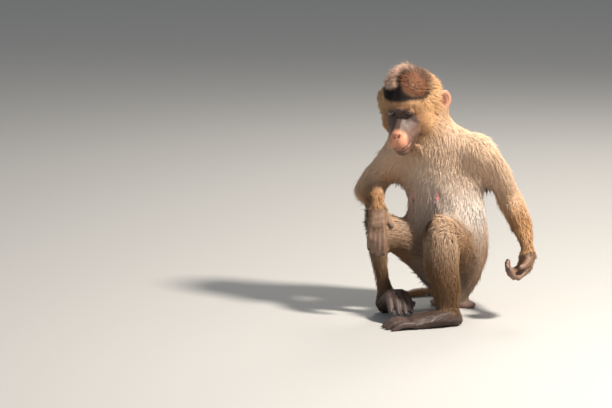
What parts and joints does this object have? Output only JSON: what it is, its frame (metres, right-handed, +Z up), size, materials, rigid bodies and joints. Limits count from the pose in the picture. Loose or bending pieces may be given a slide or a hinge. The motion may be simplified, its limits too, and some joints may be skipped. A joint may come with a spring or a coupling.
{
  "type": "macaque monkey, seated still model",
  "caption": "Life-size still model of a seated pig-tailed macaque: knees drawn up, one forearm resting on a knee, the other arm hanging beside it.",
  "frame": {"origin": "centre of the outline seen from above, on the floor that the sitting pads and soles rest on", "axes": "+Z up along the seated body, -Y the way the sitter faces, +X to the sitter's own left"},
  "size_m": [0.3522, 0.3506, 0.4773],
  "materials": {
    "head_coat": "short buff fur with a dark crown cap and a bare grey-brown face",
    "pale_coat": "pale grey to white belly fur, golden over the back",
    "golden_coat": "long golden buff fur",
    "leg_coat": "golden brown fur, darker down the front of the shin",
    "ear_skin": "bare pinkish skin, thin",
    "palm_skin": "bare grey to pinkish skin with fine creases",
    "pad_skin": "smooth callused skin",
    "nail": "dark smooth horn",
    "eye": "wet brown eyeball"
  },
  "bodies": {
    "root": {"ear_left": "ear_skin", "ear_right": "ear_skin", "eye_left": "eye", "eye_right": "eye", "foot_left": "palm_skin", "foot_right": "palm_skin", "forearm_left": "golden_coat", "forearm_right": "golden_coat", "hand_left": "palm_skin", "hand_right": "palm_skin", "head": "head_coat", "nail_finger_1_left": "nail", "nail_finger_1_right": "nail", "nail_finger_2_left": "nail", "nail_finger_2_right": "nail", "nail_finger_3_left": "nail", "nail_finger_3_right": "nail", "nail_finger_4_left": "nail", "nail_finger_4_right": "nail", "nail_finger_5_left": "nail", "nail_finger_5_right": "nail", "nail_toe_1_left": "nail", "nail_toe_1_right": "nail", "nail_toe_2_left": "nail", "nail_toe_2_right": "nail", "nail_toe_3_left": "nail", "nail_toe_3_right": "nail", "nail_toe_4_left": "nail", "nail_toe_4_right": "nail", "nail_toe_5_left": "nail", "nail_toe_5_right": "nail", "neck": "golden_coat", "shin_left": "leg_coat", "shin_right": "leg_coat", "sitting_pad_left": "pad_skin", "sitting_pad_right": "pad_skin", "tail": "golden_coat", "thigh_left": "leg_coat", "thigh_right": "leg_coat", "trunk": "pale_coat", "upper_arm_left": "golden_coat", "upper_arm_right": "golden_coat"}
  },
  "joints": []
}
